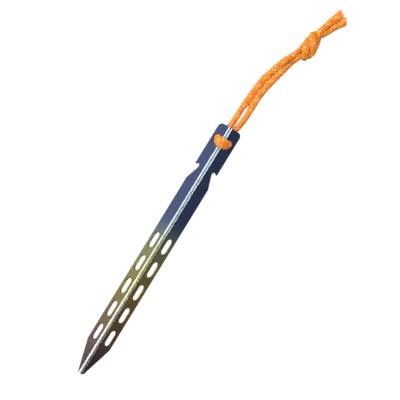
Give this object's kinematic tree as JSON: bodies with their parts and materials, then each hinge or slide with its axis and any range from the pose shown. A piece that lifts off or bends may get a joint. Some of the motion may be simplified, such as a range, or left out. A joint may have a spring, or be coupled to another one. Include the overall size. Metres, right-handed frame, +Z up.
{
  "type": "tent stake",
  "caption": "V-section tent stake folded from sheet metal, with lightening slots, side notches for a guyline and a knotted pull loop of braided cord.",
  "frame": {"origin": "middle of the blade's underside, on the plane that its two flange edges rest on", "axes": "+Y along the blade from tip to head, +Z up to the ridge of the fold, +X to the right seen from above with the head away"},
  "size_m": [0.0327, 0.2565, 0.0102],
  "materials": {
    "blade_metal": "satin",
    "cord_sheath": "matte",
    "cord_core": "matte"
  },
  "bodies": {
    "blade": {"stake_blade": "blade_metal", "cord_bridge": "cord_sheath"},
    "cord_loop": {"left_leg": "cord_sheath", "right_leg": "cord_sheath", "knot": "cord_sheath", "left_tail": "cord_sheath", "right_tail": "cord_sheath", "left_core_end": "cord_core", "right_core_end": "cord_core"}
  },
  "joints": [
    {"name": "loop_swing", "type": "hinge", "parent": "blade", "child": "cord_loop", "pos_m": [0, 0.0738, 0.00178], "axis": [1, 0, 0], "range_deg": [-150, 0]}
  ]
}
